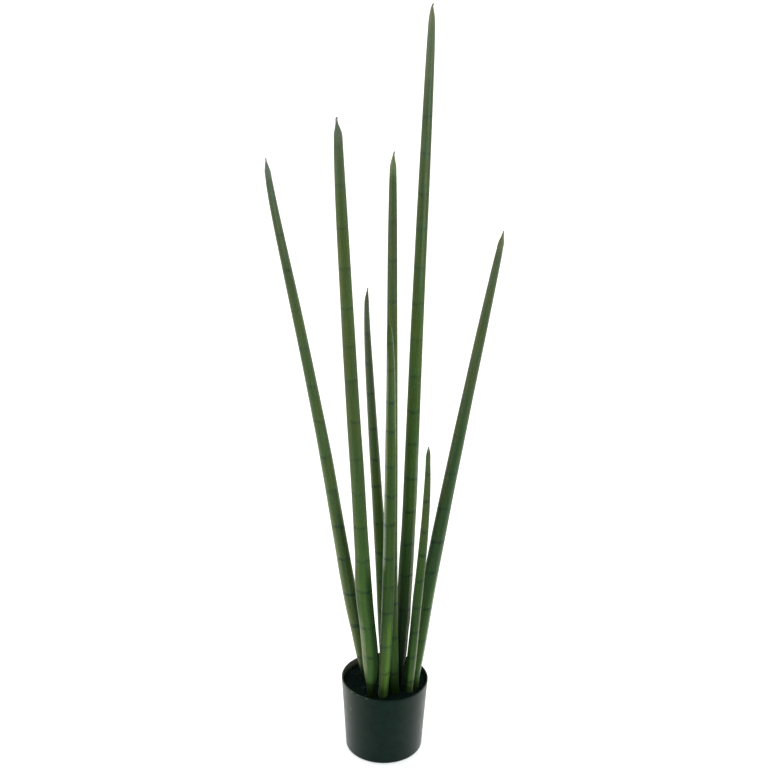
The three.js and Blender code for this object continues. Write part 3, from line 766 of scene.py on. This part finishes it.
def makePotPlastic():
    # polypropylene, moulded and dyed green-black: a smooth satin skin with faint flow marks,
    # fine scratches, pale scuffs, a painted highlight along the rim and painted light on the left of the
    # inside
    material, tree = newMaterial("mouldedPolypropylene")
    place = addNode(tree, "ShaderNodeTexCoord").outputs["Object"]
    clouds = addNode(tree, "ShaderNodeTexNoise", {"Vector": place, "Scale": 70, "Detail": 5})
    dye = addNode(tree, "ShaderNodeMix", {
        "Factor": clouds.outputs["Fac"], "A": linear("#081712"), "B": linear("#162e28"),
    }, data_type="RGBA")
    colour = dye.outputs["Result"]

    # upright pale scratches, 1 mm wide, inside 8 mm of a few places on the wall, and on the rim's
    # front left a painted highlight broken up in the same way
    scratchWay = addNode(tree, "ShaderNodeVectorMath", {0: place, 1: (1, 1, 0.25)}, operation="MULTIPLY")
    scratches = addNode(tree, "ShaderNodeTexNoise", {
        "Vector": scratchWay.outputs[0], "Scale": 450, "Detail": 3,
    })
    for direction, level, strength in potForm["scuffsAndRimGlints"]:
        heading = math.radians(direction)
        wall = potForm["base"] + (potForm["rim"] - potForm["base"]) * level * mm / potForm["height"]
        spot = (wall * math.cos(heading), wall * math.sin(heading), level * mm)
        gap = addNode(tree, "ShaderNodeVectorMath", {0: place, 1: spot}, operation="DISTANCE")
        near = addNode(tree, "ShaderNodeMapRange", {
            "Value": gap.outputs["Value"], "From Min": 2 * mm, "From Max": 8 * mm, "To Min": 1, "To Max": 0,
        }, interpolation_type="SMOOTHSTEP")
        scuffAndGlint = addNode(tree, "ShaderNodeMath", {
            0: near.outputs["Result"], 1: scratches.outputs["Fac"],
        }, operation="MULTIPLY")
        share = addNode(tree, "ShaderNodeMapRange", {
            "Value": scuffAndGlint.outputs[0], "From Min": 0.4, "From Max": 0.65, "To Min": 0, "To Max": strength,
        })
        colour = addNode(tree, "ShaderNodeMix", {
            "Factor": share.outputs["Result"], "A": colour, "B": linear("#5f6f68"),
        }, data_type="RGBA").outputs["Result"]

    # faint scratches all over, and the rim made paler over its last 1.5 mm, a painted highlight along its
    # edge
    marks = addNode(tree, "ShaderNodeTexNoise", {
        "Vector": place, "Scale": 120, "Detail": 6, "Roughness": 0.7,
    })
    markMask = addNode(tree, "ShaderNodeMapRange", {
        "Value": marks.outputs["Fac"], "From Min": 0.6, "From Max": 0.8, "To Min": 0, "To Max": 0.1,
    })
    colour = addNode(tree, "ShaderNodeMix", {
        "Factor": markMask.outputs["Result"], "A": colour, "B": linear("#3c4a45"),
    }, data_type="RGBA").outputs["Result"]
    aside, _, height = addNode(tree, "ShaderNodeSeparateXYZ", {"Vector": place}).outputs
    rim = addNode(tree, "ShaderNodeMapRange", {
        "Value": height, "From Min": potForm["height"] - 1.5 * mm, "From Max": potForm["height"],
        "To Min": 0, "To Max": 0.5,
    })
    colour = addNode(tree, "ShaderNodeMix", {
        "Factor": rim.outputs["Result"], "A": colour, "B": linear("#56605c"),
    }, data_type="RGBA").outputs["Result"]

    # painted light: the left of the inner wall made pale over its top 12 mm, where light falls on it.
    # The inner wall is what lies nearer to the middle than the rim by most of the wall's thickness
    flat = addNode(tree, "ShaderNodeVectorMath", {0: place, 1: (1, 1, 0)}, operation="MULTIPLY")
    fromMiddle = addNode(tree, "ShaderNodeVectorMath", {0: flat.outputs[0]}, operation="LENGTH")
    leftmost = addNode(tree, "ShaderNodeMapRange", {
        "Value": aside, "From Min": -50 * mm, "From Max": 20 * mm, "To Min": 0.6, "To Max": 0,
    })
    inside = addNode(tree, "ShaderNodeMapRange", {
        "Value": fromMiddle.outputs["Value"], "From Min": potForm["rim"] - 1.8 * mm,
        "From Max": potForm["rim"] - 1.1 * mm, "To Min": leftmost.outputs["Result"], "To Max": 0,
    })
    dusty = addNode(tree, "ShaderNodeMapRange", {
        "Value": height, "From Min": potForm["height"] - 12 * mm, "From Max": potForm["height"] - 5 * mm,
        "To Min": 0, "To Max": inside.outputs["Result"],
    })
    colour = addNode(tree, "ShaderNodeMix", {
        "Factor": dusty.outputs["Result"], "A": colour, "B": linear("#86867c"),
    }, data_type="RGBA").outputs["Result"]

    rough = addNode(tree, "ShaderNodeMapRange", {
        "Value": clouds.outputs["Fac"], "From Min": 0.3, "From Max": 0.7, "To Min": 0.3, "To Max": 0.4,
    })
    bump = addNode(tree, "ShaderNodeBump", {
        "Height": marks.outputs["Fac"], "Strength": 0.12, "Distance": 0.2 * mm,
    })

    # the gloss is weakest where the wall faces the eye
    facing = addNode(tree, "ShaderNodeLayerWeight", {"Blend": 0.5}).outputs["Facing"]
    gloss = addNode(tree, "ShaderNodeMapRange", {
        "Value": facing, "From Min": 0.08, "From Max": 1, "To Min": 0, "To Max": 0.41,
    })
    shader = addNode(tree, "ShaderNodeBsdfPrincipled", {
        "Base Color": colour,
        "Roughness": rough.outputs["Result"],
        "IOR": 1.49,
        "Specular IOR Level": gloss.outputs["Result"],
        "Normal": bump.outputs["Normal"],
    })
    finishMaterial(tree, shader)
    return material


makePot(makePotPlastic())
print("pot made")


# Soil.

soilForm = {
    # height in mm, radians per mm along X and Y, and phase
    "waves": ((1.5, 0.06, 0.03, 1), (1.2, -0.05, 0.09, 2.5), (0.9, 0.14, 0.11, 0.4), (0.7, 0.16, -0.15, 4)),
    "edge": 72 * mm,
    "rings": 90,
    "sides": 300,
    "hub": 0.5 * mm,  # radius of the innermost ring
    "grit": 0.5 * mm,
    "calmMiddle": 8 * mm,  # radius over which the grit sets in
}

# loose bits on the soil
bitForm = {
    "reach": 69 * mm,  # how far from the middle they lie
    "width": (0.45, 0.9),  # of their length
    "rough": (0.75, 1.25),  # factors on how far each corner stands out
    "tilt": 0.35,  # radians
    "raised": 0.4,  # how much of its half thickness the middle of a bit lies above the soil
    "shade": (0.6, 1.3),  # factors on the colour
}

# how many, their length in mm, how flat they are, and their colour
soilBits = {
    "peat": {"count": 900, "length": (1.2, 3.5), "flat": 0.7, "colour": "#061f1d"},
    "bark": {"count": 120, "length": (3, 8), "flat": 0.35, "colour": "#14201c"},
    "grit": {"count": 26, "length": (0.8, 1.8), "flat": 0.8, "colour": "#8e9088"},
}


def soilHeight(x, y):
    # the level of the soil plus four waves, from broad to small
    height = np.full(np.shape(x), soilLevel)
    for size, alongX, alongY, phase in soilForm["waves"]:
        height = height + size * mm * np.sin(alongX * x / mm + alongY * y / mm + phase)
    return height


def makeSoil(material, random):
    # a round bed: rings out from the middle at the soil's height plus small random grit
    form = soilForm
    radius = np.linspace(form["hub"], form["edge"], form["rings"])
    angle = np.arange(form["sides"]) * fullTurn / form["sides"]
    x, y = radius[:, None] * np.cos(angle), radius[:, None] * np.sin(angle)
    grit = random.normal(0, form["grit"], x.shape)
    height = soilHeight(x, y) + grit * smoothStep(0, form["calmMiddle"], radius)[:, None]
    top = np.stack([x, y, height], -1)[::-1]
    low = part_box("soil")[0].z
    lowRadius = potForm["base"] - 2 * potForm["wall"]
    bottom = np.stack([lowRadius * np.cos(angle), lowRadius * np.sin(angle), np.full_like(angle, low)], -1)
    grid = np.concatenate([bottom[None], top])
    piece = meshObject("pottingSoil", withEnds(grid), *ringFaces(*grid.shape[:2]), material)
    settle(piece, "soil", "soil")


def makeSoilBits(material, random):
    # crumbs strewn on the soil: each is a twenty-faced ball, stretched, flattened, turned and
    # roughened, all in one mesh
    golden = (1 + math.sqrt(5)) / 2
    corners = np.array([
        [-1, golden, 0], [1, golden, 0], [-1, -golden, 0], [1, -golden, 0],
        [0, -1, golden], [0, 1, golden], [0, -1, -golden], [0, 1, -golden],
        [golden, 0, -1], [golden, 0, 1], [-golden, 0, -1], [-golden, 0, 1],
    ]) / math.hypot(1, golden)
    faces = np.array([
        [0, 11, 5], [0, 5, 1], [0, 1, 7], [0, 7, 10], [0, 10, 11], [1, 5, 9], [5, 11, 4],
        [11, 10, 2], [10, 7, 6], [7, 1, 8], [3, 9, 4], [3, 4, 2], [3, 2, 6], [3, 6, 8],
        [3, 8, 9], [4, 9, 5], [2, 4, 11], [6, 2, 10], [8, 6, 7], [9, 8, 1],
    ])
    form = bitForm
    points, colours = [], []
    for bit in soilBits.values():
        count = bit["count"]
        long = random.uniform(*bit["length"], count) * mm / 2
        wide = long * random.uniform(*form["width"], count)
        size = np.stack([long, wide, wide * bit["flat"]], -1)
        rough = random.uniform(*form["rough"], (count, len(corners), 1))
        shape = corners[None] * rough * size[:, None]
        spin, tilt = random.uniform(0, fullTurn, count), random.normal(0, form["tilt"], count)
        cosTilt, sinTilt = np.cos(tilt)[:, None], np.sin(tilt)[:, None]
        cosSpin, sinSpin = np.cos(spin)[:, None], np.sin(spin)[:, None]
        tilted = shape[..., 0] * cosTilt - shape[..., 2] * sinTilt
        x = tilted * cosSpin - shape[..., 1] * sinSpin
        y = tilted * sinSpin + shape[..., 1] * cosSpin
        z = shape[..., 0] * sinTilt + shape[..., 2] * cosTilt
        reach = form["reach"] * np.sqrt(random.uniform(0, 1, count))
        heading = random.uniform(0, fullTurn, count)
        middleX, middleY = reach * np.cos(heading), reach * np.sin(heading)
        middleZ = soilHeight(middleX, middleY) + form["raised"] * size[:, 2]
        places = [x + middleX[:, None], y + middleY[:, None], z + middleZ[:, None]]
        points.append(np.stack(places, -1).reshape(-1, 3))
        shade = np.repeat(random.uniform(*form["shade"], count), len(corners))[:, None]
        colours.append(shade * np.array(linear(bit["colour"])[:3]))
    points, colours = np.concatenate(points), np.concatenate(colours)
    starts = np.arange(0, len(points), len(corners))[:, None, None]
    triangles = (starts + faces[None]).reshape(-1, 3)
    piece = meshObject("soilCrumbs", points, np.zeros((0, 4), int), triangles, material)
    addField(piece, "tone", colours)
    settle(piece, "soil")


def makeSoilStuff():
    # peat and bark compost, damp: nearly black and matt, with a blue-green cast, in 2 mm grain
    material, tree = newMaterial("dampPeatCompost")
    place = addNode(tree, "ShaderNodeTexCoord").outputs["Object"]
    grain = addNode(tree, "ShaderNodeTexNoise", {
        "Vector": place, "Scale": 600, "Detail": 5, "Roughness": 0.7,
    })
    mixed = addNode(tree, "ShaderNodeMapRange", {
        "Value": grain.outputs["Fac"], "From Min": 0.4, "From Max": 0.75, "To Min": 0, "To Max": 1,
    })
    colour = addNode(tree, "ShaderNodeMix", {
        "Factor": mixed.outputs["Result"], "A": linear("#031110"), "B": linear("#0b2621"),
    }, data_type="RGBA")
    bump = addNode(tree, "ShaderNodeBump", {
        "Height": grain.outputs["Fac"], "Strength": 0.9, "Distance": 0.8 * mm,
    })
    shader = addNode(tree, "ShaderNodeBsdfPrincipled", {
        "Base Color": colour.outputs["Result"],
        "Roughness": 0.9,
        "IOR": 1.4,
        "Specular IOR Level": 0.15,
        "Normal": bump.outputs["Normal"],
    })
    finishMaterial(tree, shader)
    return material


def makeCrumbStuff():
    # crumbs of peat, bark and grit, damp: each has its own tone, mottled by 0.5 mm grain
    material, tree = newMaterial("dampCompostCrumbs")
    tone = addNode(tree, "ShaderNodeAttribute", attribute_name="tone").outputs["Vector"]
    place = addNode(tree, "ShaderNodeTexCoord").outputs["Object"]
    grain = addNode(tree, "ShaderNodeTexNoise", {"Vector": place, "Scale": 2000, "Detail": 2})
    mottle = addNode(tree, "ShaderNodeMapRange", {
        "Value": grain.outputs["Fac"], "From Min": 0.3, "From Max": 0.7, "To Min": 0.6, "To Max": 1.3,
    })
    colour = addNode(tree, "ShaderNodeVectorMath", {
        0: tone, "Scale": mottle.outputs["Result"],
    }, operation="SCALE")
    bump = addNode(tree, "ShaderNodeBump", {
        "Height": grain.outputs["Fac"], "Strength": 0.7, "Distance": 0.3 * mm,
    })
    shader = addNode(tree, "ShaderNodeBsdfPrincipled", {
        "Base Color": colour.outputs[0],
        "Roughness": 0.85,
        "IOR": 1.4,
        "Specular IOR Level": 0.2,
        "Normal": bump.outputs["Normal"],
    })
    finishMaterial(tree, shader)
    return material


soilRandom = np.random.default_rng(5)
makeSoil(makeSoilStuff(), soilRandom)
makeSoilBits(makeCrumbStuff(), soilRandom)
print("soil made")


# Floor and light.

stageForm = {
    "floorHalf": 20.0,
    "floorUnder": 0.2 * mm,  # how far the floor lies under the pot
    "glow": (0.9, 0.93, 1, 1),
    "glowStrength": 0.6,
    "front": (0.16, 0.22, 0.22, 1),  # light from the front
    "round": (1.3, 1.25, 1.12, 1),  # and from the sides and the back
    "turn": (-0.9, 0.15),  # Y of the direction, over which the one turns into the other
}


def makeFloor():
    # a sheet of white acrylic, cast and lit a little from below
    form = stageForm
    material, tree = newMaterial("castWhiteAcrylic")
    shader = addNode(tree, "ShaderNodeBsdfPrincipled", {
        "Base Color": linear("#f4f4f2"), "Roughness": 0.9, "Specular IOR Level": 0.1,
        "Emission Color": form["glow"], "Emission Strength": form["glowStrength"],
    })
    finishMaterial(tree, shader)
    half, under = form["floorHalf"], -form["floorUnder"]
    points = np.array([
        [-half, -half, under], [half, -half, under], [half, half, under], [-half, half, under],
    ])
    floor = meshObject("floorSheet", points, np.array([[0, 1, 2, 3]]), np.zeros((0, 3), int), material)


def makeWorld():
    # a white tent round the plant, warm at the sides and the back, dim and cool at the front: its
    # colour follows the Y of the direction. The camera sees it plain white
    turnFrom, turnTo = stageForm["turn"]
    world = bpy.data.worlds.new("whiteTent")
    world.use_nodes = True
    tree = world.node_tree
    tree.nodes.clear()
    direction = addNode(tree, "ShaderNodeTexCoord").outputs["Generated"]
    depth = addNode(tree, "ShaderNodeSeparateXYZ", {"Vector": direction}).outputs["Y"]
    turned = addNode(tree, "ShaderNodeMapRange", {
        "Value": depth, "From Min": turnFrom, "From Max": turnTo,
    }, interpolation_type="SMOOTHSTEP").outputs["Result"]
    colour = addNode(tree, "ShaderNodeMix", {
        "Factor": turned, "A": stageForm["front"], "B": stageForm["round"],
    }, data_type="RGBA")
    seen = addNode(tree, "ShaderNodeMix", {
        "Factor": addNode(tree, "ShaderNodeLightPath").outputs["Is Camera Ray"],
        "A": colour.outputs["Result"], "B": (1, 1, 1, 1),
    }, data_type="RGBA")
    sky = addNode(tree, "ShaderNodeBackground", {"Color": seen.outputs["Result"], "Strength": 1})
    addNode(tree, "ShaderNodeOutputWorld", {"Surface": sky.outputs[0]})
    bpy.context.scene.world = world


makeFloor()
makeWorld()
print("stage set")
